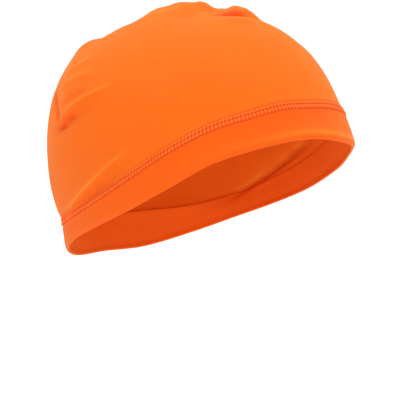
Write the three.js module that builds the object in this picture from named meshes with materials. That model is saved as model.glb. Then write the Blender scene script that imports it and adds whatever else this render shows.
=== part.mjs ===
// A peakless stretch cap as it looks when worn: a jersey crown with a turned hem band below it.
// Millimetres, +Z up, the wearer looks along -Y and the wearer's left is +X.
// The origin is the inside of the crown at the very top, where the head carries the cap.
import * as THREE from "three";

// The head that gives the cap its form, measured from the middle of the head.
const HALF_WIDTH = 77;
const FRONT_LENGTH = 96;
const BACK_LENGTH = 98;
const TOP_HEIGHT = 88.4;
const LOWER_DEPTH = 131;
const ROUNDNESS = 2.16;

// How much fuller than the plain head form the cap is, by rise in degrees over the middle.
const FRONT_FULLNESS = [
  { rise: 0, share: -0.054 },
  { rise: 25, share: -0.087 },
  { rise: 35, share: -0.08 },
  { rise: 45, share: -0.063 },
  { rise: 65, share: -0.012 },
  { rise: 90, share: 0 },
];
const BACK_FULLNESS = [
  { rise: -30, share: -0.042 },
  { rise: -10, share: 0.018 },
  { rise: 10, share: 0.054 },
  { rise: 30, share: 0.08 },
  { rise: 48, share: 0.03 },
  { rise: 66, share: -0.014 },
  { rise: 90, share: 0 },
];

// The lower edge of the band (rim) and the line where crown and band meet (seam).
// Turn is measured from the front round either side to the back; rim and seam are rises.
const EDGES = [
  { turn: 0, rim: 17.9, seam: 31.2 },
  { turn: 15, rim: 16.7, seam: 30.6 },
  { turn: 30, rim: 14.1, seam: 27.9 },
  { turn: 45, rim: 8.5, seam: 23.4 },
  { turn: 60, rim: -1.4, seam: 15.2 },
  { turn: 80, rim: -14, seam: 1.1 },
  { turn: 100, rim: -23.4, seam: -11.2 },
  { turn: 120, rim: -30.1, seam: -20 },
  { turn: 140, rim: -35.2, seam: -25.2 },
  { turn: 160, rim: -38.4, seam: -26.4 },
  { turn: 180, rim: -38.6, seam: -26.6 },
];
// The cap isn't quite straight on the head: how much lower each line lies, by turn to the left.
const SLANT = [
  { turn: -32, rim: 0, seam: 0 },
  { turn: -15, rim: -0.55, seam: -0.35 },
  { turn: -3, rim: -0.15, seam: -0.1 },
  { turn: 5, rim: 0.45, seam: 0.2 },
  { turn: 16, rim: 1.2, seam: 0.7 },
  { turn: 27, rim: 1.7, seam: 0.8 },
  { turn: 45, rim: 1.2, seam: 0.6 },
  { turn: 75, rim: 0, seam: 0 },
];

// Puffs (positive height) and creases (negative) from one place on the head to another.
// Each place is a turn and a rise; width is half the width, where the height is a third.
// A row that is mirrored also shows on the other side of the head.
const FOLDS = [
  { name: "rear puff", from: [180, 63], to: [180, 88], width: 27, height: 6 },
  { name: "front puff", from: [96, 82], to: [60, 75.5], width: 8, height: 4.5 },
  { name: "front crest", from: [-34, 73], to: [10, 72], width: 5, height: 1.9 },
  { name: "top notch", from: [-98, 75], to: [131, 77.5], width: 5, height: -4.2 },
  { name: "back corner", from: [153, 37], to: [166, 38], width: 7.5, height: 2.4, mirrored: true },
  { name: "upper hollow", from: [148, 45], to: [166, 46.5], width: 9, height: -1.2, mirrored: true },
  { name: "top seam", from: [180, 46], to: [0, 86], width: 3.5, height: -1.4 },
  { name: "back dart", from: [171, 47], to: [150, 35], width: 4.5, height: -1.2, mirrored: true },
  { name: "dart end", from: [150, 30], to: [132, 15], width: 8, height: -1.9, mirrored: true },
  { name: "upper pull", from: [128, 12.5], to: [104, 30], width: 3.8, height: 1.4, mirrored: true },
  { name: "lower crease", from: [129, 9], to: [106, 23], width: 4, height: -1, mirrored: true },
  { name: "side ridge", from: [122, -19.5], to: [82, 8.5], width: 4.5, height: 1.5, mirrored: true },
];

// Cloth sizes.
const JERSEY = 1.2;
const SEAM_GAP = 0.3;
// The band's section, down the inside, round the rim and up the outside:
// how far below the seam, as a share of its height, and how far out of the jersey's face.
const BAND_SECTION = [
  { down: 0, out: -1.2 },
  { down: 0.03, out: -1.6 },
  { down: 0.35, out: -1.6 },
  { down: 0.7, out: -1.6 },
  { down: 0.96, out: -1.5 },
  { down: 1, out: -0.9 },
  { down: 1, out: -0.1 },
  { down: 0.96, out: 0.6 },
  { down: 0.88, out: 0.75 },
  { down: 0.72, out: 0.5 },
  { down: 0.5, out: 0.4 },
  { down: 0.28, out: 0.35 },
  { down: 0.15, out: 0.45 },
  { down: 0.08, out: 0.8 },
  { down: 0.02, out: 0.45 },
  { down: 0, out: -0.1 },
];

// Mesh steps.
const COLUMNS = 96;
const CROWN_ROWS = 22;

// A smooth curve through the rows of a table, level at both ends.
function along(table, key, name, at) {
  const last = table.length - 1;
  const slope = (i) =>
    i === 0 || i === last
      ? 0
      : (table[i + 1][name] - table[i - 1][name]) / (table[i + 1][key] - table[i - 1][key]);
  const x = THREE.MathUtils.clamp(at, table[0][key], table[last][key]);
  let start = 0;
  while (start < last - 1 && table[start + 1][key] <= x) start++;
  const span = table[start + 1][key] - table[start][key];
  const s = (x - table[start][key]) / span;
  return (
    table[start][name] * (1 + 2 * s) * (1 - s) ** 2 +
    span * slope(start) * s * (1 - s) ** 2 +
    table[start + 1][name] * s * s * (3 - 2 * s) +
    span * slope(start + 1) * s * s * (s - 1)
  );
}

// The direction from the middle of the head for a turn from the front and a rise, in degrees.
function direction(turn, rise) {
  const t = THREE.MathUtils.degToRad(turn);
  const r = THREE.MathUtils.degToRad(rise);
  return new THREE.Vector3(
    Math.cos(r) * Math.sin(t),
    -Math.cos(r) * Math.cos(t),
    Math.sin(r),
  );
}

// The plain head form: a rounded ellipsoid whose back and front are made fuller or flatter.
function headRadius(turn, rise) {
  const d = direction(turn, rise);
  const x = Math.abs(d.x) / HALF_WIDTH;
  const y = Math.abs(d.y) / (d.y < 0 ? FRONT_LENGTH : BACK_LENGTH);
  const z = Math.abs(d.z) / (d.z > 0 ? TOP_HEIGHT : LOWER_DEPTH);
  const plain = (x ** ROUNDNESS + y ** ROUNDNESS + z ** ROUNDNESS) ** (-1 / ROUNDNESS);
  const backShare = 0.5 - 0.5 * Math.cos(THREE.MathUtils.degToRad(turn));
  const front = along(FRONT_FULLNESS, "rise", "share", rise);
  const back = along(BACK_FULLNESS, "rise", "share", rise);
  return plain * (1 + front * (1 - backShare) + back * backShare);
}

function onHead(turn, rise) {
  return direction(turn, rise).multiplyScalar(headRadius(turn, rise));
}

// A fold fades out this far behind its middle, so that it leaves the head's far side alone.
const REACH = 40;

// Each fold gets its own axes: along it, across it and out of the head at its middle.
function foldAxes({ from, to, width, height }, side) {
  const start = onHead(side * from[0], from[1]);
  const end = onHead(side * to[0], to[1]);
  const middle = start.clone().add(end).multiplyScalar(0.5);
  const out = middle.clone().normalize();
  const run = end.clone().sub(start);
  const lengthwise = run.clone().normalize();
  const across = new THREE.Vector3().crossVectors(out, lengthwise).normalize();
  return { middle, out, lengthwise, across, half: run.length() / 2, width, height };
}
const folds = FOLDS.flatMap((row) =>
  row.mirrored ? [foldAxes(row, 1), foldAxes(row, -1)] : [foldAxes(row, 1)],
);

// Height of all puffs and creases at a place: each fades along, across and behind its middle.
function relief(place) {
  let height = 0;
  for (const fold of folds) {
    const offset = place.clone().sub(fold.middle);
    const s = offset.dot(fold.lengthwise) / fold.half;
    const w = offset.dot(fold.across) / fold.width;
    const behind = offset.dot(fold.out) / REACH;
    height += fold.height * Math.exp(-(s ** 4) - w * w - behind ** 4);
  }
  return height;
}

// Distance from the middle of the head to the outer face of the jersey.
function clothRadius(turn, rise) {
  const radius = headRadius(turn, rise);
  return radius + relief(direction(turn, rise).multiplyScalar(radius));
}

// A point a little outside (or, when negative, inside) the outer face, in the cap's frame.
const SEAT_HEIGHT = clothRadius(0, 90) - JERSEY;
function clothPoint(turn, rise, out) {
  const point = direction(turn, rise).multiplyScalar(clothRadius(turn, rise) + out);
  point.z -= SEAT_HEIGHT;
  return point;
}

function seamRise(turn) {
  return along(EDGES, "turn", "seam", Math.abs(turn)) - along(SLANT, "turn", "seam", turn);
}

function rimRise(turn) {
  return along(EDGES, "turn", "rim", Math.abs(turn)) - along(SLANT, "turn", "rim", turn);
}

function columnTurn(column) {
  return (360 * column) / COLUMNS - 180;
}

// Joins rings of points into faces. Each ring runs round the cap from its back over the left.
function ringFaces(rings, faces, closed) {
  const last = closed ? rings : rings - 1;
  for (let ring = 0; ring < last; ring++) {
    const here = ring * COLUMNS;
    const next = ((ring + 1) % rings) * COLUMNS;
    for (let column = 0; column < COLUMNS; column++) {
      const beside = (column + 1) % COLUMNS;
      faces.push(here + column, here + beside, next + beside);
      faces.push(here + column, next + beside, next + column);
    }
  }
}

function solid(name, points, faces, material) {
  const geometry = new THREE.BufferGeometry();
  const flat = points.flatMap((point) => point.toArray());
  geometry.setAttribute("position", new THREE.Float32BufferAttribute(flat, 3));
  geometry.setIndex(faces);
  geometry.computeVertexNormals();
  const mesh = new THREE.Mesh(geometry, material);
  mesh.name = name;
  return mesh;
}

// The crown: inner rings from the top down, then outer rings from the seam up, both with a top.
function crown(material) {
  const points = [clothPoint(0, 90, -JERSEY)];
  const layers = [
    { out: -JERSEY, rows: Array.from({ length: CROWN_ROWS }, (_, k) => 1 - (k + 1) / CROWN_ROWS) },
    { out: 0, rows: Array.from({ length: CROWN_ROWS }, (_, k) => k / CROWN_ROWS) },
  ];
  for (const { out, rows } of layers) {
    for (const upward of rows) {
      for (let column = 0; column < COLUMNS; column++) {
        const turn = columnTurn(column);
        const gapRise = THREE.MathUtils.radToDeg(SEAM_GAP / headRadius(turn, seamRise(turn)));
        const lowest = seamRise(turn) + gapRise;
        points.push(clothPoint(turn, lowest + (90 - lowest) * upward, out));
      }
    }
  }
  points.push(clothPoint(0, 90, 0));

  const rings = 2 * CROWN_ROWS;
  const faces = [];
  ringFaces(rings, faces, false);
  for (let k = 0; k < faces.length; k++) faces[k] += 1;
  const top = points.length - 1;
  const lastRing = 1 + (rings - 1) * COLUMNS;
  for (let column = 0; column < COLUMNS; column++) {
    const beside = (column + 1) % COLUMNS;
    faces.push(0, 1 + beside, 1 + column);
    faces.push(top, lastRing + column, lastRing + beside);
  }
  return solid("crown", points, faces, material);
}

// The hem band: one closed section carried round the head between the seam and the rim.
function hemBand(material) {
  const points = [];
  for (const { down, out } of BAND_SECTION) {
    for (let column = 0; column < COLUMNS; column++) {
      const turn = columnTurn(column);
      const rise = THREE.MathUtils.lerp(seamRise(turn), rimRise(turn), down);
      points.push(clothPoint(turn, rise, out));
    }
  }
  const faces = [];
  ringFaces(BAND_SECTION.length, faces, true);
  return solid("hem_band", points, faces, material);
}

const crownJersey = new THREE.MeshStandardMaterial({
  color: "#fc6e1e",
  roughness: 0.75,
  metalness: 0,
});
const bandJersey = new THREE.MeshStandardMaterial({
  color: "#fb6a1b",
  roughness: 0.75,
  metalness: 0,
});

const cap = new THREE.Group();
cap.name = "stretch_cap";
cap.add(crown(crownJersey), hemBand(bandJersey));

export default cap;
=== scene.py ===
# %% [markdown]
# # A stretch cap, shown as it is worn
# This lesson dresses a plain model of a peakless jersey cap. The real cap is two pieces of
# stretch jersey: a crown that is closed over the head by a seam and two darts, and a hem band
# that is turned up double and joined to the crown by a ladder of cover stitches.
# The plain model is loaded first and never changed. Everything new is built around it in
# metres, in the same frame: the wearer looks along -Y, the wearer's left is +X, up is +Z, and
# the origin is the inside of the crown at the very top.

# %% Load the plain model
import math

import bpy
import numpy as np
from mathutils import Matrix, Vector


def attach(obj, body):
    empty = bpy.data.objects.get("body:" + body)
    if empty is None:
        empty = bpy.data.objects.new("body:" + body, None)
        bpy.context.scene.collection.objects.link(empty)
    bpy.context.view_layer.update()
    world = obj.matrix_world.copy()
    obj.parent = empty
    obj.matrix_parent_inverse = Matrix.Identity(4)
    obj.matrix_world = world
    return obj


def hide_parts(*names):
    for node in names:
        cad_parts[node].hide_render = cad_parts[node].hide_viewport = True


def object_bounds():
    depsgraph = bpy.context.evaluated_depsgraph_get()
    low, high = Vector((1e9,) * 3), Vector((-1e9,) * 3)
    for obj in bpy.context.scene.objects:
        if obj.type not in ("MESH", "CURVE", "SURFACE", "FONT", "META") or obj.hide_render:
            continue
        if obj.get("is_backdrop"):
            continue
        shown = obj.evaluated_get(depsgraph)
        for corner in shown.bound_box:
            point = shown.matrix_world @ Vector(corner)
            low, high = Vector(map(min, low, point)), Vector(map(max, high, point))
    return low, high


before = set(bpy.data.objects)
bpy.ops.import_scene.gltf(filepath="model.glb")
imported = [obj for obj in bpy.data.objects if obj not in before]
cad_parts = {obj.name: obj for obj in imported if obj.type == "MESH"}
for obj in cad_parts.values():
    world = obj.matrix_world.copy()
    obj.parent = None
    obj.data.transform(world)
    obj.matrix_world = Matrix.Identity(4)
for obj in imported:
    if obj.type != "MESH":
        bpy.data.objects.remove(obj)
cad_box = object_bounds()
print("plain model from", tuple(cad_box[0]), "to", tuple(cad_box[1]))

# %% [markdown]
# ## The camera
# The photograph looks at the cap from the wearer's right and front, a little from above, with
# the picture turned by a few degrees. A camera's place can be worked out from the outline of a
# known shape, and that was done for this one. A long lens far away keeps the outline from
# widening near the lens, as in a studio picture.

# %% Camera
MM = 0.001
AZIMUTH = math.radians(-45.5)
ELEVATION = math.radians(9.9)
ROLL = math.radians(3.1)
DISTANCE = 1.3  # metres
HALF_VIEW = 0.1152  # metres, half the picture's width at the cap
AIM = Vector((-0.0043, -0.0007, -0.1073))
SENSOR = 36.0  # mm

towards_camera = Vector((
    math.sin(AZIMUTH) * math.cos(ELEVATION),
    -math.cos(AZIMUTH) * math.cos(ELEVATION),
    math.sin(ELEVATION),
))
level_right = Vector((math.cos(AZIMUTH), math.sin(AZIMUTH), 0.0))
level_up = towards_camera.cross(level_right)
right = level_right * math.cos(ROLL) + level_up * math.sin(ROLL)
up = level_up * math.cos(ROLL) - level_right * math.sin(ROLL)

camera_data = bpy.data.cameras.new("camera")
camera_data.sensor_width = SENSOR
camera_data.lens = SENSOR / 2 * DISTANCE / HALF_VIEW
camera = bpy.data.objects.new("camera", camera_data)
camera.matrix_world = Matrix.Translation(AIM + towards_camera * DISTANCE) @ (
    Matrix((right, up, towards_camera)).transposed().to_4x4()
)
bpy.context.collection.objects.link(camera)
bpy.context.scene.camera = camera
print(f"lens {camera_data.lens:.0f} mm at {DISTANCE} m")

# %% [markdown]
# ## The head's form
# A stretch cap takes the form of the head in it. A head could be sculpted by hand, or scanned.
# Here it is one formula: a rounded ellipsoid with its own half axes to the front, back, side,
# top and bottom, made a little fuller or flatter by short tables. Every place on it is given by
# a turn (degrees from the front, round the head) and a rise (degrees above the middle of the
# head), so all the pieces can share it.

# %% Head form
# half axes in mm, and the power that rounds the ellipsoid
HALF_WIDTH = 77.0
FRONT_LENGTH = 96.0
BACK_LENGTH = 98.0
TOP_HEIGHT = 88.4
LOWER_DEPTH = 131.0
ROUNDNESS = 2.16
# rise, share by which the front and the back are fuller than the plain form
FRONT_FULLNESS = ((0, -0.054), (25, -0.087), (35, -0.08), (45, -0.063), (65, -0.012), (90, 0))
BACK_FULLNESS = (
    (-30, -0.042), (-10, 0.018), (10, 0.054), (30, 0.08), (48, 0.03), (66, -0.014), (90, 0),
)
# turn, rise of the band's lower edge, rise of the seam between band and crown
EDGES = (
    (0, 17.9, 31.2), (15, 16.7, 30.6), (30, 14.1, 27.9), (45, 8.5, 23.4), (60, -1.4, 15.2),
    (80, -14, 1.1), (100, -23.4, -11.2), (120, -30.1, -20), (140, -35.2, -25.2),
    (160, -38.4, -26.4), (180, -38.6, -26.6),
)
# turn, degrees by which rim and seam lie lower there, because the cap isn't quite straight
SLANT = (
    (-32, 0, 0), (-15, -0.55, -0.35), (-3, -0.15, -0.1), (5, 0.45, 0.2), (16, 1.2, 0.7),
    (27, 1.7, 0.8), (45, 1.2, 0.6), (75, 0, 0),
)


def along(table, column, at):
    """Cubic curve through a table's rows: each row's slope is that of its neighbours' chord,
    and the ends are level."""
    rows = np.asarray(table, float)
    key, value = rows[:, 0], rows[:, column]
    slope = np.zeros(len(key))
    slope[1:-1] = (value[2:] - value[:-2]) / (key[2:] - key[:-2])
    at = np.clip(at, key[0], key[-1])
    k = np.clip(np.searchsorted(key, at, side="right") - 1, 0, len(key) - 2)
    span = key[k + 1] - key[k]
    s = (at - key[k]) / span
    return (
        value[k] * (1 + 2 * s) * (1 - s) ** 2
        + span * slope[k] * s * (1 - s) ** 2
        + value[k + 1] * s * s * (3 - 2 * s)
        + span * slope[k + 1] * s * s * (s - 1)
    )


def direction(turn, rise):
    """Unit vector (cos r sin t, -cos r cos t, sin r) for a turn t and a rise r in degrees."""
    t, r = np.radians(turn), np.radians(rise)
    return np.stack([np.cos(r) * np.sin(t), -np.cos(r) * np.cos(t), np.sin(r)], axis=-1)


def head_radius(turn, rise):
    """Distance from the head's middle: the p-norm ellipsoid (|x/a|^p + |y/b|^p + |z/c|^p) = 1
    times one plus the front and back fullness, which trade places with the turn."""
    d = direction(turn, rise)
    x = np.abs(d[..., 0]) / HALF_WIDTH
    y = np.abs(d[..., 1]) / np.where(d[..., 1] < 0, FRONT_LENGTH, BACK_LENGTH)
    z = np.abs(d[..., 2]) / np.where(d[..., 2] > 0, TOP_HEIGHT, LOWER_DEPTH)
    plain = (x**ROUNDNESS + y**ROUNDNESS + z**ROUNDNESS) ** (-1 / ROUNDNESS)
    back_share = 0.5 - 0.5 * np.cos(np.radians(turn))
    front = along(FRONT_FULLNESS, 1, rise)
    back = along(BACK_FULLNESS, 1, rise)
    return plain * (1 + front * (1 - back_share) + back * back_share)


def rim_rise(turn):
    return along(EDGES, 1, np.abs(turn)) - along(SLANT, 1, turn)


def seam_rise(turn):
    return along(EDGES, 2, np.abs(turn)) - along(SLANT, 2, turn)


print(f"head form {head_radius(90, 0) * 2:.0f} mm wide")

# %% [markdown]
# ## Puffs, creases and pulls
# Jersey that is stretched over a head keeps folds only where it is gathered: it puffs up on
# both sides of the top seam, and fine pulls run out from the ends of the darts. Cloth could be
# simulated, but the folds of one photograph are then hard to meet. Each fold is laid here
# instead, as a ridge or a groove from one place on the head to another. The first table holds
# the folds that the plain model has too, the second the finer ones. Two short tables of the
# same form say where painted shade darkens the creases and a painted highlight lightens crests.

# %% Fold tables
# from turn, rise; to turn, rise; half width in mm; height in mm; also on the other side
MAIN_FOLDS = (
    (180, 63, 180, 88, 27, 6.0, False),  # puff behind the top
    (96, 82, 60, 75.5, 8, 4.5, False),  # puff in front of it
    (-34, 73, 10, 72, 5, 1.9, False),  # crest at the front of the gathers
    (-98, 75, 131, 77.5, 5, -4.2, False),  # notch between the puffs
    (153, 37, 166, 38, 7.5, 2.4, True),  # corner where the back begins
    (148, 45, 166, 46.5, 9, -1.2, True),  # hollow above it
    (180, 46, 0, 86, 3.5, -1.4, False),  # top seam
    (171, 47, 150, 35, 4.5, -1.2, True),  # upper half of the back dart
    (150, 30, 132, 15, 8, -1.9, True),  # lower half of the back dart
    (128, 12.5, 104, 30, 3.8, 1.4, True),  # pull forward from the dart's end
    (129, 9, 106, 23, 4, -1.0, True),  # crease below that pull
    (122, -19.5, 82, 8.5, 4.5, 1.5, True),  # long ridge low on the side
)
FINE_FOLDS = (
    (124.5, 14.6, 101, 34.3, 1.8, 1.5, True),  # crest of the pull from the dart's end
    (127.5, 10.8, 113, 21, 1.5, -1.4, True),  # crease below that crest
    (134, 10, 119.5, 14.6, 1.3, -0.8, True),  # its flatter end towards the back
    (136, 25, 118, 36, 2.2, 1.0, True),  # second pull above it
    (137, 30, 126, 41, 2.4, 0.9, True),  # third pull
    (129, 19.5, 113, 30, 2.6, -0.7, True),  # dip between the first two
    (149, 21.5, 129.5, 15.5, 1.2, -1.4, True),  # the dart's sewn line
    (134.5, 16.8, 127, 14.8, 1.7, -2.0, True),  # pit where the dart's stitches end
    (150, 41, 166, 43, 3.5, -0.9, True),  # upper side of the back corner
    (119, -20.5, 82, 8.3, 1.8, 2.5, True),  # crest of the long ridge
    (115, -19, 87, 0, 2.6, -1.0, True),  # dip between it and the seam
    (46, 55, 50, 38, 14, 0.9, True),  # fuller brow
    (172, -26, 133, -24, 5.0, -1.5, True),  # pinch at the seam over the nape
    (22, 23, 46, 13, 7.0, 0.9, False),  # fuller band over the left brow
    (-158, 70, -150, 64.5, 2.5, 0.7, False),  # small step at the side of the rear puff
    (-150, 60, -143, 60, 2.5, -0.7, False),  # dip below that step
    (-44, 82, 40, 77.5, 2.2, -3.2, False),  # sharp valley behind the front crest
    (-10, 85, 48, 81, 2.6, 0.7, False),  # steep flank behind that valley
    (-80, 86, 134, 77.5, 2.6, -2.4, False),  # floor of the notch
    (-169, 81, 142, 76, 3.0, 1.4, False),  # end of the rear puff above the notch
    (57, 76, 41.5, 75, 3.5, 2.0, False),  # foot of the front puff
    (-92, 73.5, -125, 84.5, 1.8, -0.7, False),  # fine crease beside the notch
    (-141, 63.5, -118, 76, 2.2, 0.8, False),  # fine ridge on the rear puff
    (180, 50, 180, 78, 1.6, 2.4, False),  # welt of the top seam on the rear puff
)
# from, to and half width as above; share of the painted shade colour that is seen there
SHADED_PLACES = (
    (-32, 86, 43, 79, 4.2, 1.0, False),  # valley behind the front crest
    (127, 11, 115, 20.3, 1.3, 0.9, True),  # crease below the dart's pull
    (133, 10.6, 119.5, 14.6, 1.2, 0.5, True),  # its flatter end
    (135, 16.9, 127, 14.7, 1.5, 1.3, True),  # pit at the dart's end
    (115, -19, 88, 0.3, 2.6, 0.3, True),  # dip along the long ridge
    (128, 21, 114, 30, 2.6, 0.35, True),  # dip between the pulls
)
# from, to and half width as above; share of the painted highlight colour on lit crests and flanks
HIGHLIGHT_PLACES = (
    (120, -18.2, 97, -2.8, 1.3, 1.0, True),  # low end of the long ridge
    (101, -5.8, 83, 10.5, 1.2, 0.5, True),  # its upper end
    (125, 15, 103.5, 33.2, 1.1, 0.6, True),  # pull from the dart's end
    (136, 24.5, 119, 36, 1.4, 0.5, True),  # second pull above it
    (135, 31, 128.5, 40.5, 3.0, 0.4, True),  # broad fold below the back corner
    (-148, 65, -128, 73.5, 5.5, 0.45, False),  # side of the rear puff
)
REACH = 40.0  # a fold fades out this far behind its middle


def fold_axes(fold, side):
    """A fold's middle and its axes along, across and out of the head, from its two ends."""
    from_turn, from_rise, to_turn, to_rise, width, height, _ = fold
    start = direction(side * from_turn, from_rise) * head_radius(side * from_turn, from_rise)
    end = direction(side * to_turn, to_rise) * head_radius(side * to_turn, to_rise)
    middle = (start + end) / 2
    out = middle / np.linalg.norm(middle)
    run = end - start
    length = np.linalg.norm(run)
    across = np.cross(out, run / length)
    across /= np.linalg.norm(across)
    return middle, run / length, across, out, length / 2, width, height


def laid_out(table):
    """Axes of every row's fold, then those of the mirrored folds that the last column asks for."""
    mirrored = [fold_axes(row, -1) for row in table if row[-1]]
    return [fold_axes(row, 1) for row in table] + mirrored


def relief(place, folds):
    """Sum over folds of height * exp(-s^4 - w^2 - b^4), with s along in half lengths, w across
    in half widths and b the depth behind the fold's middle in units of REACH."""
    total = np.zeros(place.shape[:-1])
    for middle, lengthwise, across, out, half, width, height in folds:
        offset = place - middle
        s = offset @ lengthwise / half
        w = offset @ across / width
        b = offset @ out / REACH
        total += height * np.exp(-(s**4) - w**2 - b**4)
    return total


main_folds = laid_out(MAIN_FOLDS)
fine_folds = laid_out(FINE_FOLDS)
all_folds = main_folds + fine_folds
shaded_places = laid_out(SHADED_PLACES)
highlight_places = laid_out(HIGHLIGHT_PLACES)
print(len(main_folds), "main folds and", len(fine_folds), "fine folds")
print(len(shaded_places), "deeper places and", len(highlight_places), "lighter ones")

# %% Cloth surface
JERSEY = 0.8  # thickness of the crown's cloth, in mm
PLAIN_WALL = 1.2  # the plain model's wall, which fixes where the origin lies


def cloth_radius(turn, rise, folds):
    """Head radius plus the height of the folds at that place."""
    radius = head_radius(turn, rise)
    return radius + relief(direction(turn, rise) * radius[..., None], folds)


seat_height = float(cloth_radius(np.zeros(1), np.full(1, 90.0), main_folds)[0]) - PLAIN_WALL


def cloth_point(turn, rise, out):
    """Point on the cloth's outer face moved out by so many mm, in metres in the cap's frame."""
    radius = cloth_radius(turn, rise, all_folds) + out
    point = direction(turn, rise) * radius[..., None]
    point[..., 2] -= seat_height
    return point * MM


def rise_for(turn, distance, start):
    """Rise that lies so many mm up the cloth from a starting rise."""
    return start + np.degrees(distance / head_radius(turn, start))


print(f"origin {seat_height:.1f} mm above the middle of the head")

# %% [markdown]
# ## The ladder seam
# Crown and band are butted and joined by a cover stitch: two rows of needle thread, sunk into
# the cloth, and a ladder of looper thread between them. The sunk rows and the puffed strip
# between them belong to the cloth, so they are one profile that both pieces share: how far the
# face stands out at a distance above or below the seam. Stitches are counted along the seam's
# own length, so that they keep one pitch all the way round.

# %% Seam profile
STITCHES = 248
# mm above the seam (minus is below), mm out of the head's form
SEAM_PROFILE = (
    (-30, 0.1), (-12, 0.0), (-8, 0.0), (-5.5, 0.2), (-4.4, 0.4), (-3.6, 0.55),
    (-3.0, -0.35), (-2.4, 0.4), (-1.5, 0.7), (-0.8, 0.5), (-0.35, 0.05), (0, 0.35), (0.5, 0.55),
    (1.0, 0.35), (1.5, -0.15), (2.0, 0.25), (3.0, 0.35), (4.5, 0.1), (6, 0), (200, 0),
)
# mm above the rim, mm out: the folded edge puffs into a soft roll
ROLL_PROFILE = (
    (0, -0.9), (0.5, -0.4), (1.0, 0.1), (1.6, 0.6), (2.2, 0.95), (3.0, 1.05), (4.2, 0.95),
    (6, 0.6), (8, 0.25), (10, 0.05), (12, 0), (40, 0),
)
EASE = 0.2  # mm to either side over which a profile's corners are eased


def read_off(profile, distance):
    """Straight-line reading of a profile, eased by averaging three near readings."""
    rows = np.asarray(profile)
    near = [np.interp(distance + step, rows[:, 0], rows[:, 1]) for step in (-EASE, 0.0, EASE)]
    return sum(near) / len(near)


fine_turns = np.linspace(-180, 180, 2881)  # every eighth of a degree
seam_line = cloth_point(fine_turns, seam_rise(fine_turns), 0)
seam_steps = np.linalg.norm(np.diff(seam_line, axis=0), axis=1)
seam_run = np.concatenate([[0], np.cumsum(seam_steps)])
SEAM_LENGTH = float(seam_run[-1])


def stitch_number(turn):
    """Number of stitches from the back, round the seam, to a turn."""
    return np.interp(turn, fine_turns, seam_run) / SEAM_LENGTH * STITCHES


def stitch_turn(number):
    """Turn at which a stitch number lies, the other way round."""
    return np.interp(number / STITCHES * SEAM_LENGTH, seam_run, fine_turns)


print(f"seam {SEAM_LENGTH * 1000:.0f} mm, a stitch every {SEAM_LENGTH * 1000 / STITCHES:.2f} mm")

# %% [markdown]
# ## From arrays to a mesh
# Each piece below is a grid of points worked out by a formula. Writing such arrays into a mesh
# takes the same few steps every time, so they are gathered here. A map that runs round the cap
# would jump back at its end: the face that crosses it gets its places moved on by one turn.

# %% Mesh helpers
def ring_faces(rings, columns, closed=False):
    """Quads between neighbouring rings of points, each ring closed on itself. When closed, the
    last ring is joined to the first as well."""
    ring, column = np.meshgrid(
        np.arange(rings if closed else rings - 1), np.arange(columns), indexing="ij"
    )
    beside = (column + 1) % columns
    here, above = ring * columns, (ring + 1) % rings * columns
    return np.stack(
        [here + column, here + beside, above + beside, above + column], axis=-1
    ).reshape(-1, 4)


def unwrapped(place, corners, period):
    """Map place of each face corner, moved on by a period at the start of a crossing face."""
    at = place[corners]
    if period:
        crossing = at[..., 0].max(axis=1, keepdims=True) - at[..., 0] > period / 2
        at[..., 0] += crossing * period
    return at.reshape(-1, 2)


def new_piece(name, points, quads, triangles, material, maps=(), marks=()):
    """A smooth mesh object from arrays. maps are (name, place of each point, period) and marks
    are (name, number at each point)."""
    mesh = bpy.data.meshes.new(name)
    loops = np.concatenate([quads.ravel(), triangles.ravel()]).astype(np.int32)
    sizes = np.concatenate([np.full(len(quads), 4), np.full(len(triangles), 3)])
    mesh.vertices.add(len(points))
    mesh.vertices.foreach_set("co", points.astype(np.float32).ravel())
    mesh.loops.add(len(loops))
    mesh.loops.foreach_set("vertex_index", loops)
    mesh.polygons.add(len(sizes))
    mesh.polygons.foreach_set("loop_start", (np.cumsum(sizes) - sizes).astype(np.int32))
    mesh.polygons.foreach_set("use_smooth", np.ones(len(sizes), bool))
    mesh.update(calc_edges=True)
    for map_name, place, period in maps:
        at = [unwrapped(place, quads, period), unwrapped(place, triangles, period)]
        layer = mesh.uv_layers.new(name=map_name)
        layer.data.foreach_set("uv", np.concatenate(at).astype(np.float32).ravel())
    for mark_name, number in marks:
        mark = mesh.attributes.new(mark_name, "FLOAT", "POINT")
        mark.data.foreach_set("value", number.astype(np.float32).ravel())
    mesh.materials.append(material)
    piece = bpy.data.objects.new(name, mesh)
    bpy.context.collection.objects.link(piece)
    print(f"{name}: {len(points)} points, {2 * len(quads) + len(triangles)} triangles")
    return piece


# %% [markdown]
# ## Shader groups
# Three effects are used by more than one material, so each is a node group with named inputs:
# the knit, whose V-shaped stitches stand in columns; the painted shade of the ladder seam's
# stitch holes and sunk lines; and a soft mottle, because dyed jersey is never one even colour.
# A picture could be laid on instead, but sums of sines and steps stay sharp at any distance.

# %% Group helpers
def new_group(name, inputs, outputs):
    """An empty shader node group with float or vector sockets: (name, kind, value)."""
    group = bpy.data.node_groups.new(name, "ShaderNodeTree")
    kinds = {"number": "NodeSocketFloat", "vector": "NodeSocketVector"}
    for socket, kind, value in inputs:
        made = group.interface.new_socket(socket, in_out="INPUT", socket_type=kinds[kind])
        if kind == "number":
            made.default_value = value
    for socket in outputs:
        group.interface.new_socket(socket, in_out="OUTPUT", socket_type=kinds["number"])
    return group, group.nodes.new("NodeGroupInput"), group.nodes.new("NodeGroupOutput")


def feed(tree, value, socket):
    """Links a socket, or sets a number, on a node's input."""
    if isinstance(value, bpy.types.NodeSocket):
        tree.links.new(value, socket)
    else:
        socket.default_value = value


def calc(tree, operation, *values, clamp=False):
    """A Math node on sockets or numbers."""
    node = tree.nodes.new("ShaderNodeMath")
    node.operation = operation
    node.use_clamp = clamp
    for value, socket in zip(values, node.inputs):
        feed(tree, value, socket)
    return node.outputs[0]


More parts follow.
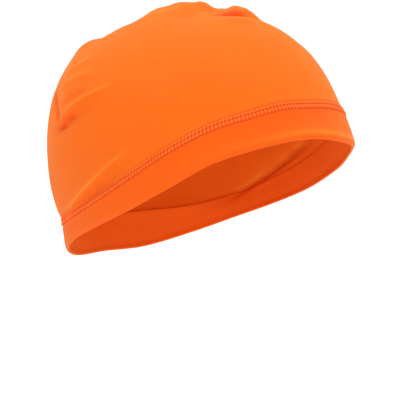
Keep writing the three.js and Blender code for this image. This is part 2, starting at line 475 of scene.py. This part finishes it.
def fade(tree, value, start, end, low=0.0, high=1.0):
    """Smooth step of a value from low at start to high at end."""
    node = tree.nodes.new("ShaderNodeMapRange")
    node.interpolation_type = "SMOOTHSTEP"
    for socket, number in zip(node.inputs, (value, start, end, low, high)):
        feed(tree, number, socket)
    return node.outputs[0]


def split(tree, vector):
    """The three numbers of a vector."""
    node = tree.nodes.new("ShaderNodeSeparateXYZ")
    feed(tree, vector, node.inputs[0])
    return node.outputs


# %% Knit, ladder and mottle groups
WALE = 0.0006  # metres from one column of knit stitches to the next
COURSE = 0.0005  # metres from one row of them to the next
# mm above the seam of the two sunk rows of needle thread and of the ladder's middle
UPPER_ROW = 1.5
LOWER_ROW = -3.0
LADDER_MIDDLE = -0.35


def make_knit():
    """Height of V-shaped stitches: with a the distance from the column's middle in half
    columns, (0.7 + 0.3 cos 2 pi (y / course + 0.8 a)) times (1 - a^3)."""
    group, given, result = new_group(
        "knit",
        (("Place", "vector", None), ("Wale", "number", WALE), ("Course", "number", COURSE)),
        ("Height",),
    )
    x, y, _ = split(group, given.outputs["Place"])
    column = calc(group, "FRACT", calc(group, "DIVIDE", x, given.outputs["Wale"]))
    from_middle = calc(group, "SUBTRACT", column, 0.5)
    away = calc(group, "MULTIPLY", calc(group, "ABSOLUTE", from_middle), 2)
    row = calc(group, "DIVIDE", y, given.outputs["Course"])
    turn = calc(group, "MULTIPLY", calc(group, "MULTIPLY_ADD", away, 0.8, row), math.tau)
    wave = calc(group, "MULTIPLY_ADD", calc(group, "COSINE", turn), 0.3, 0.7)
    bulge = calc(group, "SUBTRACT", 1, calc(group, "POWER", away, 3))
    group.links.new(calc(group, "MULTIPLY", wave, bulge), result.inputs["Height"])
    return group


def make_ladder_shade():
    """Painted shade of the cover stitch: Hole shade is 1 between stitches near the ladder's
    middle,
    Row shade is 1 along the lower sunk row of needle thread and half that along the upper, both
    with soft edges. Place is (stitch number, mm above the seam)."""
    rows = (("Upper", "number", UPPER_ROW), ("Lower", "number", LOWER_ROW))
    group, given, result = new_group(
        "ladder_shade", (("Place", "vector", None), *rows), ("Hole shade", "Line")
    )
    number, above, _ = split(group, given.outputs["Place"])
    phase = calc(group, "ABSOLUTE", calc(group, "SUBTRACT", calc(group, "FRACT", number), 0.5))
    between = fade(group, phase, 0.2, 0.42)
    from_middle = calc(group, "ABSOLUTE", calc(group, "ADD", above, -LADDER_MIDDLE))
    middle = fade(group, from_middle, 0.3, 0.8, 1.0, 0.0)
    lines = []
    for row, share in (("Upper", 0.5), ("Lower", 1.0)):
        away = calc(group, "ABSOLUTE", calc(group, "SUBTRACT", above, given.outputs[row]))
        lines.append(fade(group, away, 0.1, 0.6, share, 0.0))
    group.links.new(calc(group, "MULTIPLY", between, middle), result.inputs["Hole shade"])
    group.links.new(calc(group, "MAXIMUM", *lines), result.inputs["Line"])
    return group


def make_mottle():
    """Soft cloudiness: 1 + Strength (broad + 1.2 fine), with both noises less their mean."""
    group, given, result = new_group(
        "mottle", (("Place", "vector", None), ("Strength", "number", 0.06)), ("Shade",)
    )
    total = 0.0
    for scale, share in ((45.0, 1.0), (900.0, 1.2)):
        noise = group.nodes.new("ShaderNodeTexNoise")
        noise.inputs["Scale"].default_value = scale
        noise.inputs["Detail"].default_value = 2.0
        group.links.new(given.outputs["Place"], noise.inputs["Vector"])
        from_mean = calc(group, "SUBTRACT", noise.outputs[0], 0.5)
        total = calc(group, "MULTIPLY_ADD", from_mean, share, total)
    shade = calc(group, "MULTIPLY_ADD", total, given.outputs["Strength"], 1.0)
    group.links.new(shade, result.inputs["Shade"])
    return group


knit, ladder_shade, mottle = make_knit(), make_ladder_shade(), make_mottle()
print("groups:", knit.name, ladder_shade.name, mottle.name)

# %% Material helpers
def place_group(tree, group, **values):
    """A group put to use in a material, with its named inputs fed."""
    node = tree.nodes.new("ShaderNodeGroup")
    node.node_tree = group
    for name, value in values.items():
        feed(tree, value, node.inputs[name])
    return node


def map_place(tree, name):
    """Each point's place on the map of that name."""
    node = tree.nodes.new("ShaderNodeUVMap")
    node.uv_map = name
    return node.outputs[0]


def mark_at(tree, name):
    """The number that the mesh carries at each point under that name."""
    node = tree.nodes.new("ShaderNodeAttribute")
    node.attribute_name = name
    return node.outputs["Fac"]


def blend(tree, share, one, other):
    """Colour between one and other by share."""
    node = tree.nodes.new("ShaderNodeMix")
    node.data_type = "RGBA"
    feed(tree, share, node.inputs["Factor"])
    feed(tree, one, node.inputs["A"])
    feed(tree, other, node.inputs["B"])
    return node.outputs["Result"]


def shaded(tree, colour, shade):
    """Colour scaled by a number."""
    node = tree.nodes.new("ShaderNodeVectorMath")
    node.operation = "SCALE"
    feed(tree, colour, node.inputs[0])
    feed(tree, shade, node.inputs["Scale"])
    return node.outputs[0]


SHINE = 0.1  # cloth, thread and floor mirror very little
SHEEN_SPREAD = 0.45


def new_material(name, roughness, sheen, sheen_tint):
    """A material with a Principled shader whose even values are set on its own sockets."""
    material = bpy.data.materials.new(name)
    material.use_nodes = True
    shader = material.node_tree.nodes["Principled BSDF"]
    shader.inputs["Roughness"].default_value = roughness
    shader.inputs["Specular IOR Level"].default_value = SHINE
    shader.inputs["Sheen Weight"].default_value = sheen
    shader.inputs["Sheen Roughness"].default_value = SHEEN_SPREAD
    shader.inputs["Sheen Tint"].default_value = sheen_tint
    return material, material.node_tree, shader


def raise_surface(tree, shader, height, distance):
    """Bump of a height, so many metres high at 1, into the shader's Normal."""
    bump = tree.nodes.new("ShaderNodeBump")
    bump.inputs["Distance"].default_value = distance
    feed(tree, height, bump.inputs["Height"])
    tree.links.new(bump.outputs[0], shader.inputs["Normal"])


# %% [markdown]
# ## Jersey
# The cap's cloth is a bright orange polyester jersey: satin where it is pulled smooth, lighter
# on the lit crests of folds, and deeper and redder in creases, because light that bounces
# between two orange faces loses its yellow. A soft studio light shows little of that on its
# own, so each mesh carries the share of a painted shade colour and of a painted highlight colour
# at every point, from the tables of folds. Both pieces are cut from one cloth, so one function
# makes both materials, each with its own colour. The crown also shows fine sewn lines, the darts
# and the top seam, as painted shade along distances from a few straight runs on its flat map.

# %% Sewn lines
FLAT_RADIUS = 0.088  # metres of the crown's flat map for each radian down from the top
# from turn, rise; to turn, rise; half width in mm of the painted shade along it; also on the other
# side
SHADED_SEWN_LINES = (
    (180, 40, 180, 50, 1.0, False),  # lower end of the top seam
    (180, 50, 180, 78, 2.6, False),  # the top seam, wider over the rear puff
    (172, 46, 162, 34, 1.4, True),  # from here on the dart, which widens to its end
    (162, 34, 154, 25.8, 1.6, True),
    (154, 25.8, 144.5, 20.2, 1.8, True),
    (144.5, 20.2, 128.5, 15, 2.0, True),
)


def flat_place(turn, rise):
    """The crown's flat map, in metres: FLAT_RADIUS times the angle down from the top, in the
    direction of the turn."""
    down = np.radians(90 - np.asarray(rise, float)) * FLAT_RADIUS
    t = np.radians(turn)
    return np.stack([down * np.sin(t), -down * np.cos(t)], axis=-1)


def make_sewn_line():
    """How near a place lies to the straight run from Start to End: 1 on it, 0 at Width."""
    group, given, result = new_group(
        "sewn line",
        (("Place", "vector", None), ("Start", "vector", None), ("End", "vector", None),
         ("Width", "number", 0.001)),
        ("Nearness",),
    )

    def vector(operation, *values):
        node = group.nodes.new("ShaderNodeVectorMath")
        node.operation = operation
        for value, socket in zip(values, node.inputs):
            feed(group, value, socket)
        return node

    from_start = vector("SUBTRACT", given.outputs["Place"], given.outputs["Start"]).outputs[0]
    run = vector("SUBTRACT", given.outputs["End"], given.outputs["Start"]).outputs[0]
    share = calc(
        group, "DIVIDE", vector("DOT_PRODUCT", from_start, run).outputs["Value"],
        vector("DOT_PRODUCT", run, run).outputs["Value"], clamp=True,
    )
    foot = vector("SCALE", run)
    group.links.new(share, foot.inputs["Scale"])
    away = vector("DISTANCE", from_start, foot.outputs[0]).outputs["Value"]
    near = fade(group, calc(group, "DIVIDE", away, given.outputs["Width"]), 0.2, 1.0, 1.0, 0.0)
    group.links.new(near, result.inputs["Nearness"])
    return group


sewn_line = make_sewn_line()
print("group:", sewn_line.name)

# %% Jersey material
ORANGE = (0.80, 0.122, 0.004)
BAND_ORANGE = (0.80, 0.100, 0.003)
# painted highlight colour for the lit crests of folds and the roll
HIGHLIGHT_ORANGE = (0.86, 0.19, 0.012)
# painted shade colour for creases, sewn lines and the seam's sunk rows
SHADE_ORANGE = (0.76, 0.042, 0.002)
# painted shade colour of the stitch holes between the ladder's rungs
HOLE_SHADE_ORANGE = (0.64, 0.045, 0.003)
ORANGE_SHEEN = (1.0, 0.5, 0.12, 1.0)
CREASE_SHADE = 0.75  # share of the painted shade colour in the deepest crease
ROW_SHADE = 0.85  # and that of painted shade along the sunk row of the seam
KNIT_HEIGHT = 0.00006  # metres
KNIT_SHADE = (0.16, 0.9)  # painted light and shade of the knit: brightness that a stitch's height adds, and that of its valleys
KNIT_ROUGHNESS = (0.85, 0.65)  # in the valleys and on top


def make_jersey(name, colour, lines):
    """Jersey: colour with painted shade in creases, seam holes, sunk rows and sewn lines, painted
    highlight on crests, and mottle, under a fine knit with painted light and shade, rougher in
    its valleys."""
    material, tree, shader = new_material(
        name, roughness=0.72, sheen=0.3, sheen_tint=ORANGE_SHEEN
    )
    cloth = map_place(tree, "cloth")
    body = tree.nodes.new("ShaderNodeTexCoord").outputs["Object"]
    stitch = place_group(tree, knit, Place=cloth)
    # the ladder group gives painted shade: the stitch holes and the seam's sunk rows
    seam = place_group(tree, ladder_shade, Place=map_place(tree, "seam"))
    cloud = place_group(tree, mottle, Place=body)
    # painted shade: share of the deeper colour in creases, along sewn lines and the sunk row
    shade_share = fade(tree, mark_at(tree, "painted_shade"), 0.0, 1.0, 0.0, CREASE_SHADE)
    for from_turn, from_rise, to_turn, to_rise, width, both in lines:
        for side in (1, -1) if both else (1,):
            run = place_group(tree, sewn_line, Place=cloth)
            run.inputs["Start"].default_value = (*flat_place(side * from_turn, from_rise), 0)
            run.inputs["End"].default_value = (*flat_place(side * to_turn, to_rise), 0)
            run.inputs["Width"].default_value = width * MM
            shade_share = calc(tree, "MAXIMUM", shade_share, run.outputs[0])
    row = calc(tree, "MULTIPLY", seam.outputs["Line"], ROW_SHADE)
    shade_share = calc(tree, "MAXIMUM", shade_share, row)
    # painted highlight on crests, then painted shade, then the painted shade of the stitch holes
    tone = blend(tree, mark_at(tree, "painted_highlight"), (*colour, 1), (*HIGHLIGHT_ORANGE, 1))
    tone = blend(tree, shade_share, tone, (*SHADE_ORANGE, 1))
    tone = blend(tree, seam.outputs["Hole shade"], tone, (*HOLE_SHADE_ORANGE, 1))
    # painted light and shade of the knit: lighter on the stitches, darker in their valleys
    stitch_shade = calc(tree, "MULTIPLY_ADD", stitch.outputs["Height"], *KNIT_SHADE)
    tone = shaded(tree, tone, calc(tree, "MULTIPLY", stitch_shade, cloud.outputs["Shade"]))
    tree.links.new(tone, shader.inputs["Base Color"])
    rough = fade(tree, stitch.outputs["Height"], 0.0, 1.0, *KNIT_ROUGHNESS)
    tree.links.new(rough, shader.inputs["Roughness"])
    raise_surface(tree, shader, stitch.outputs["Height"], KNIT_HEIGHT)
    return material


crown_jersey = make_jersey("crown_jersey", ORANGE, SHADED_SEWN_LINES)
band_jersey = make_jersey("band_jersey", BAND_ORANGE, ())
print("jersey:", crown_jersey.name, band_jersey.name)

# %% [markdown]
# ## Thread
# The looper thread is a soft textured polyester, a shade lighter than the cloth. Its two plies
# show as slanting bands, with painted shade in the grooves between them, that follow each
# stitch on a map of its own: once round and so many millimetres along.

# %% Thread material
THREAD_ORANGE = (0.98, 0.22, 0.035, 1)
# painted shade in the grooves between the plies
THREAD_PLY_SHADE = (0.85, 0.12, 0.010, 1)
THREAD_SHEEN = (1.0, 0.7, 0.45, 1.0)
PLIES = 2
TWIST = 1.4  # plies passed for each mm along the thread
PLY_HEIGHT = 0.00008  # metres


def make_thread():
    """Slanting plies, darker in the grooves between them as painted shade: 0.5 + 0.5 sin 2 pi
    (plies times the way round + twist times the way along in mm)."""
    material, tree, shader = new_material(
        "thread", roughness=0.6, sheen=0.3, sheen_tint=THREAD_SHEEN
    )
    around, along_it, _ = split(tree, map_place(tree, "twist"))
    turn = calc(tree, "MULTIPLY_ADD", around, PLIES, calc(tree, "MULTIPLY", along_it, TWIST))
    wave = calc(tree, "SINE", calc(tree, "MULTIPLY", turn, math.tau))
    ply = calc(tree, "MULTIPLY_ADD", wave, 0.5, 0.5)
    tone = blend(tree, ply, THREAD_PLY_SHADE, THREAD_ORANGE)
    tree.links.new(tone, shader.inputs["Base Color"])
    raise_surface(tree, shader, ply, PLY_HEIGHT)
    return material


thread = make_thread()
print("thread:", thread.name)

# %% [markdown]
# ## Crown
# The crown is one closed shell of jersey. Its grid runs round the head and from the seam to the
# top, with rows crowded near the seam, where the stitches pull the cloth in. The inner face
# follows a cloth's thickness behind it with fewer rows, because it is plain at the seam.

# %% Crown
CROWN_COLUMNS = 480
SEAM_ZONE = 6.0  # mm above the seam in which the rows are crowded
EDGE = -0.1  # mm past the seam's middle, where each piece tucks under the other
EDGE_ROUND = 0.05  # degrees by which the rounded cut edge stands past the first row
# rows in the seam zone, rows from there to the top
OUTER_ROWS = (30, 116)
INNER_ROWS = (8, 34)


def crown_grid(near_rows, far_rows):
    """Turn and rise of each grid point: rows of even millimetres up to the zone's end, then
    even shares of the way from there to just below the top."""
    turn = np.arange(CROWN_COLUMNS) * 360 / CROWN_COLUMNS - 180
    near = np.linspace(EDGE, SEAM_ZONE, near_rows)[:, None]
    share = np.linspace(0, 1, far_rows + 2)[1:-1, None]
    low = rise_for(turn, near, seam_rise(turn))
    rise = np.concatenate([low, low[-1] + (90 - low[-1]) * share])
    return np.broadcast_to(turn, rise.shape), rise


def height_above(turn, rise):
    """Millimetres above the seam."""
    start = seam_rise(turn)
    return np.radians(rise - start) * head_radius(turn, start)


def share_of(turn, rise, places):
    """How much of a table's colour shows at a place: 0 on open cloth, up to 1."""
    radius = head_radius(turn, rise)
    return np.clip(relief(direction(turn, rise) * radius[..., None], places), 0, 1)


def make_crown():
    """Inner face from the top down, rounded edge, outer face from the seam up, with a point at
    each end where the columns meet."""
    outer_turn, outer_rise = crown_grid(*OUTER_ROWS)
    inner_turn, inner_rise = crown_grid(*INNER_ROWS)
    above = height_above(outer_turn, outer_rise)
    outer = cloth_point(outer_turn, outer_rise, read_off(SEAM_PROFILE, above))
    inner = cloth_point(inner_turn, inner_rise, np.full(inner_rise.shape, -JERSEY))
    edge_turn, edge_rise = outer_turn[:1], outer_rise[:1] - EDGE_ROUND
    edge = cloth_point(edge_turn, edge_rise, np.full(edge_rise.shape, -JERSEY / 2))
    rings = np.concatenate([inner[::-1], edge, outer])
    turn = np.concatenate([inner_turn[::-1], edge_turn, outer_turn])
    rise = np.concatenate([inner_rise[::-1], edge_rise, outer_rise])
    count = rings.shape[0] * CROWN_COLUMNS
    poles = cloth_point(np.zeros(2), np.full(2, 90.0), np.array([-JERSEY, 0.0]))
    points = np.concatenate([rings.reshape(-1, 3), poles])
    column = np.arange(CROWN_COLUMNS)
    beside = (column + 1) % CROWN_COLUMNS
    last = count - CROWN_COLUMNS
    triangles = np.concatenate([
        np.stack([np.full(CROWN_COLUMNS, count), beside, column], axis=-1),
        np.stack([last + column, last + beside, np.full(CROWN_COLUMNS, count + 1)], axis=-1),
    ])
    turns, rises = np.append(turn.ravel(), [0, 0]), np.append(rise.ravel(), [90, 90])
    seam_place = np.stack([stitch_number(turns), height_above(turns, rises)], axis=-1)
    return new_piece(
        "crown_cloth", points, ring_faces(rings.shape[0], CROWN_COLUMNS), triangles,
        crown_jersey,
        maps=(("cloth", flat_place(turns, rises), 0), ("seam", seam_place, STITCHES)),
        # shares of painted shade in creases and of painted highlight on crests
        marks=(
            ("painted_shade", share_of(turns, rises, shaded_places)),
            ("painted_highlight", share_of(turns, rises, highlight_places)),
        ),
    )


crown_cloth = make_crown()

# %% [markdown]
# ## Hem band
# The band is a strip of jersey folded in two along the rim, its raw edges caught in the ladder
# seam. It is built as it is sewn: one sheet that goes down as the outer layer, round the fold
# and back up as the inner layer, with its own thickness all along. Slanting ripples from the
# pull of the stitches are left on its face.

# %% Hem band
BAND_COLUMNS = 720
FOLD_RADIUS = 0.85  # mm, outside of the fold at the rim
LAYER_GAP = 0.1  # mm between the two layers
LINING_OUT = 0.1  # mm out of the form, from which the inner layer lies two fold radii in
UPPER_ZONE = 5.5  # mm below the seam in which the rows are crowded
LOWER_ZONE = 6.5  # mm above the rim in which they are crowded too
RAW_EDGE = 0.08  # mm by which the rounded raw edges stand past the first row
UPPER_ROWS, MIDDLE_ROWS, LOWER_ROWS, FOLD_ROWS = 28, 10, 20, 11
OUTSIDE_ROWS = UPPER_ROWS + MIDDLE_ROWS + LOWER_ROWS + 2  # outer face and start of the fold
MAP_SHIFT = 50  # mm by which the seam's map is moved away on all other rows


def roll(turn, above_rim):
    """The rolled edge's profile times 0.4 + 0.6 cos(turn / 2)^4: full at the front and slighter
    towards the back."""
    share = 0.4 + 0.6 * np.cos(np.radians(turn) / 2) ** 4
    return read_off(ROLL_PROFILE, above_rim) * share


def roll_highlight(turn, above_rim):
    """Share of the lighter colour, a painted highlight along the roll, fullest over the left brow:
    0.75 exp(-((above - 4) / 1.6)^2) cos((turn - 25) / 2)^12."""
    across = np.exp(-(((above_rim - 4.0) / 1.6) ** 2))
    return 0.75 * across * np.cos(np.radians(turn - 25) / 2) ** 12


def front_shade(turn, above_rim):
    """Share of the painted shade colour on the front of the band, above the roll: 0.2 times a
    ramp from 3 to 7 mm above the rim times cos((turn + 12) / 2)^24."""
    return 0.2 * np.clip((above_rim - 3) / 4, 0, 1) * np.cos(np.radians(turn + 12) / 2) ** 24


def ripples(turn, down):
    """Slanting waves, one in 3.4 stitches along and in 9 mm down, that come and go round the
    band and fade towards its edges: 0.2 sin 2 pi (n / 3.4 + down / 9) times a slow wave in n
    times exp(-((down - 7) / 4.5)^2), with n the number of stitches."""
    number = stitch_number(turn)
    wave = np.sin(math.tau * (number / 3.4 + down / 9.0))
    comes_and_goes = 0.5 + 0.5 * np.sin(number * 0.31) * np.sin(number * 0.093 + 1.1)
    return 0.2 * wave * comes_and_goes * np.exp(-(((down - 7) / 4.5) ** 2))


def band_section(turn, height):
    """Rows of (mm below the seam, mm out) round the folded strip, each as an array over the
    columns: outer face down, half circle at the rim, inner face up, and back between the
    layers."""
    near = np.linspace(EDGE, UPPER_ZONE, UPPER_ROWS)[:, None] * np.ones_like(turn)
    share = np.linspace(0, 1, MIDDLE_ROWS + 2)[1:-1, None]
    middle = UPPER_ZONE + (height - LOWER_ZONE - UPPER_ZONE) * share
    low = height - np.linspace(LOWER_ZONE, FOLD_RADIUS, LOWER_ROWS)[:, None]
    down = np.concatenate([near, middle, low])

    def face(at):
        return read_off(SEAM_PROFILE, -at) + roll(turn, height - at)

    def lining(at):
        return LINING_OUT + roll(turn, height - at) - 2 * FOLD_RADIUS

    at_fold = face(height - FOLD_RADIUS)
    angle = np.linspace(0, math.pi, FOLD_ROWS + 2)[1:-1, None]
    fold_down = height - FOLD_RADIUS + FOLD_RADIUS * np.sin(angle)
    fold_out = at_fold - FOLD_RADIUS + FOLD_RADIUS * np.cos(angle)
    up = down[::-2]
    inside = FOLD_RADIUS - JERSEY
    gap_down = down[::4]
    gap_fold = height - FOLD_RADIUS + inside * np.sin(angle[::-3])
    gap_fold_out = at_fold - FOLD_RADIUS + inside * np.cos(angle[::-3])
    rows = (
        (down, face(down) + ripples(turn, down)),
        (fold_down, fold_out),
        (up, lining(up)),
        (up[-1:] - RAW_EDGE, lining(up[-1:]) + JERSEY / 2),
        (gap_down, lining(gap_down) + JERSEY),
        (gap_fold, gap_fold_out),
        (gap_down[::-1], lining(gap_down[::-1]) + JERSEY + LAYER_GAP),
        (down[:1] - RAW_EDGE, face(down[:1]) - JERSEY / 2),
    )
    return np.concatenate([row[0] for row in rows]), np.concatenate([row[1] for row in rows])


def make_band():
    """The folded strip's section carried round the head, below the seam."""
    turn = np.arange(BAND_COLUMNS) * 360 / BAND_COLUMNS - 180
    start = seam_rise(turn)
    radius = head_radius(turn, start)
    height = np.radians(start - rim_rise(turn)) * radius
    down, out = band_section(turn, height)
    turns = np.broadcast_to(turn, down.shape)
    rise = rise_for(turn, -down, start)
    rings = cloth_point(turns, rise, out)
    step = np.linalg.norm(np.diff(rings, axis=0), axis=2).mean(axis=1)
    length = np.concatenate([[0], np.cumsum(step)])[:, None] * np.ones_like(turn)
    number = stitch_number(turns)
    cloth = np.stack([number * SEAM_LENGTH / STITCHES, -length], axis=-1)
    outside = np.arange(down.shape[0])[:, None] < OUTSIDE_ROWS
    seam_place = np.stack([number, np.where(outside, -down, -down - MAP_SHIFT)], axis=-1)
    # painted shade in creases and on the band's front, painted highlight on crests and along the
    # roll
    painted_shade = share_of(turns, rise, shaded_places) + outside * front_shade(turns, height - down)
    painted_highlight = share_of(turns, rise, highlight_places) + outside * roll_highlight(turns, height - down)
    flipped = slice(None, None, -1)
    return new_piece(
        "hem_band_cloth", rings[flipped].reshape(-1, 3),
        ring_faces(rings.shape[0], BAND_COLUMNS, closed=True), np.zeros((0, 3), int),
        band_jersey,
        maps=(
            ("cloth", cloth[flipped].reshape(-1, 2), SEAM_LENGTH),
            ("seam", seam_place[flipped].reshape(-1, 2), STITCHES),
        ),
        marks=(
            ("painted_shade", np.clip(painted_shade, 0, 1)[flipped].ravel()),
            ("painted_highlight", np.clip(painted_highlight, 0, 1)[flipped].ravel()),
        ),
    )


hem_band_cloth = make_band()

# %% [markdown]
# ## Stitches
# The ladder is one long looper thread that zigzags between the needle rows. Each of its visible
# runs is a short tube of thread, thick in the middle and sunk into the cloth at both ends, and
# each needle stitch is a thinner one along the seam. Each kind of run comes out of one array,
# and all are joined into one mesh.

# %% Stitch tubes
def tubes(path, radius, sides):
    """Tubes round many paths (tube, step, xyz): at each step a circle in the plane of the
    sideways and outward directions, with a point that closes each end."""
    tangent = np.gradient(path, axis=1)
    tangent /= np.linalg.norm(tangent, axis=2, keepdims=True)
    outward = path - np.array([0.0, 0.0, -seat_height * MM])
    sideways = np.cross(tangent, outward)
    sideways /= np.linalg.norm(sideways, axis=2, keepdims=True)
    outward = np.cross(sideways, tangent)
    angle = np.arange(sides) * math.tau / sides
    circle = (
        np.cos(angle)[:, None] * sideways[:, :, None, :]
        + np.sin(angle)[:, None] * outward[:, :, None, :]
    )
    rings = path[:, :, None, :] + radius[None, :, None, None] * circle
    count, steps = path.shape[:2]
    size = steps * sides + 2
    points = np.concatenate([rings.reshape(count, -1, 3), path[:, :1], path[:, -1:]], axis=1)
    quads = ring_faces(steps, sides)[:, ::-1]
    side = np.arange(sides)
    beside = (side + 1) % sides
    last = (steps - 1) * sides
    triangles = np.concatenate([
        np.stack([np.full(sides, size - 2), side, beside], axis=-1),
        np.stack([last + beside, last + side, np.full(sides, size - 1)], axis=-1),
    ])
    offset = np.arange(count)[:, None, None] * size
    length = np.linalg.norm(np.diff(path, axis=1), axis=2).mean(axis=0) / MM
    along_it = np.concatenate([[0], np.cumsum(length)])
    place = np.stack(
        [np.tile(side / sides, steps), np.repeat(along_it, sides)], axis=-1
    )
    place = np.concatenate([place, [[0.5, 0.0], [0.5, along_it[-1]]]])
    return (
        points.reshape(-1, 3),
        (quads + offset).reshape(-1, 4),
        (triangles + offset).reshape(-1, 3),
        np.tile(place, (count, 1)),
    )


def seam_path(number, above, out):
    """Points on the cloth at a stitch number, mm above the seam and mm out of its face."""
    turn = stitch_turn(number % STITCHES)
    rise = rise_for(turn, above, seam_rise(turn))
    return cloth_point(turn, rise, read_off(SEAM_PROFILE, above) + out)


def runs(shift_from, above_from, shift_to, above_to, sunk, proud, radius, steps, sides):
    """One tube for each stitch, from one place beside it to another. With s from 0 to 1 along
    it, the path is straight on the cloth and stands sunk + (proud - sunk) sin(pi s)^0.7 out of
    it, and the radius is that given times 0.55 + 0.45 sin(pi s)^0.5."""
    number = np.arange(STITCHES)[:, None] + 0.5
    s = np.linspace(0, 1, steps)
    shift = shift_from + (shift_to - shift_from) * s
    above = np.broadcast_to(above_from + (above_to - above_from) * s, (STITCHES, steps))
    out = sunk + (proud - sunk) * np.sin(math.pi * s) ** 0.7
    taper = radius * (0.55 + 0.45 * np.sin(math.pi * s) ** 0.5)
    return tubes(seam_path(number + shift, above, out), taper * MM, sides)


def joined(parts):
    """Several sets of points, quads, triangles and map places as one."""
    starts = np.cumsum([0] + [len(part[0]) for part in parts[:-1]])
    return (
        np.concatenate([part[0] for part in parts]),
        np.concatenate([part[1] + start for part, start in zip(parts, starts)]),
        np.concatenate([part[2] + start for part, start in zip(parts, starts)]),
        np.concatenate([part[3] for part in parts]),
    )


# from stitches beside and mm above the seam; to the same; mm out of the face at its ends and
# in its middle; radius of the thread in mm; steps along it, points round it
STITCH_RUNS = (
    (-0.22, 1.45, 0.1, -0.1, -0.35, 0.22, 0.4, 7, 6),  # looper thread from the upper row
    (-0.1, -0.5, 0.3, -2.85, -0.35, 0.22, 0.42, 7, 6),  # looper thread to the lower row
    (-0.36, 1.55, 0.36, 1.55, -0.25, 0.1, 0.17, 5, 5),  # needle stitch of the upper row
    (-0.36, -3.1, 0.36, -3.1, -0.25, 0.1, 0.17, 5, 5),  # needle stitch of the lower row
)
points, quads, triangles, places = joined([runs(*row) for row in STITCH_RUNS])
ladder_stitches = new_piece(
    "ladder_stitches", points, quads, triangles, thread, maps=(("twist", places, 1),)
)

# %% [markdown]
# ## The pieces on the model
# The plain model stays in the scene for its size, but its crown and hem band are hidden,
# because the new cloth pieces stand for them. Each new piece is hung on an empty named
# body:root.

# %% Hang the pieces
for piece, slot in (
    (crown_cloth, "crown_jersey"), (hem_band_cloth, "band_jersey"), (ladder_stitches, "thread"),
):
    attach(piece, "root")
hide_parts("crown")
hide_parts("hem_band")
print("dressed:", crown_cloth.name, hem_band_cloth.name, ladder_stitches.name)

# %% [markdown]
# ## Studio
# The picture is a catalogue one: a white room, a large soft light overhead, a weaker one from
# the front, and no hard shadow. A sun could give the light from above, but its shadows have
# edges: here its disc is made so wide that it lights like a bright ceiling. The floor is a
# plain pale sheet so wide that it fills the picture behind the cap.

# %% Floor and lights
FLOOR_LEVEL = -0.3  # metres
FLOOR_SIZE = 60.0  # metres
FLOOR_WHITE = (0.93, 0.93, 0.93)
ROOM_WHITE = (1, 1, 1, 1)
ROOM_LIGHT = 0.85
CEILING_LIGHT = 0.9
CEILING_WIDTH = math.radians(60)  # how wide the ceiling's light looks from the cap
# name, place and width in metres, power in watts
AREA_LIGHTS = (
    ("overhead", (0.1, 0.2, 1.5), 1.4, 17),
    ("front", (-1.3, -1.6, 0.5), 1.2, 7),
)


def make_floor():
    """A square sheet under the cap, with hardly any mottle."""
    half = FLOOR_SIZE / 2
    corners = np.array([(-half, -half), (half, -half), (half, half), (-half, half)])
    points = np.column_stack([corners, np.full(4, FLOOR_LEVEL)])
    material, tree, shader = new_material(
        "pale_floor", roughness=0.9, sheen=0.0, sheen_tint=ROOM_WHITE
    )
    body = tree.nodes.new("ShaderNodeTexCoord").outputs["Object"]
    cloud = place_group(tree, mottle, Place=body, Strength=0.01)
    tone = shaded(tree, FLOOR_WHITE, cloud.outputs["Shade"])
    tree.links.new(tone, shader.inputs["Base Color"])
    return new_piece("floor", points, np.array([[0, 1, 2, 3]]), np.zeros((0, 3), int), material)


def area_light(name, place, size, power):
    """A square soft light that faces the cap."""
    data = bpy.data.lights.new(name, "AREA")
    data.size = size
    data.energy = power
    light = bpy.data.objects.new(name, data)
    light.location = place
    light.rotation_euler = (AIM - Vector(place)).to_track_quat("-Z", "Y").to_euler()
    bpy.context.collection.objects.link(light)


make_floor()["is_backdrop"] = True
world = bpy.data.worlds.new("white_room")
world.use_nodes = True
world.node_tree.nodes["Background"].inputs["Color"].default_value = ROOM_WHITE
world.node_tree.nodes["Background"].inputs["Strength"].default_value = ROOM_LIGHT
bpy.context.scene.world = world
for light_row in AREA_LIGHTS:
    area_light(*light_row)
ceiling = bpy.data.lights.new("ceiling", "SUN")
ceiling.energy = CEILING_LIGHT
ceiling.angle = CEILING_WIDTH
bpy.context.collection.objects.link(bpy.data.objects.new("ceiling", ceiling))
bpy.context.scene.view_settings.view_transform = "Standard"
print("floor, white room and", len(AREA_LIGHTS) + 1, "lights")

# %% [markdown]
# Cloth may stand a little proud of the plain model, but the cap mustn't grow. The two boxes are
# printed one after the other.

# %% Size
sizes = {
    "plain_model": [list(map(float, corner)) for corner in cad_box],
    "dressed_model": [list(map(float, corner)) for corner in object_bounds()],
}
for name, box in sizes.items():
    print(name, [[round(value, 4) for value in corner] for corner in box])
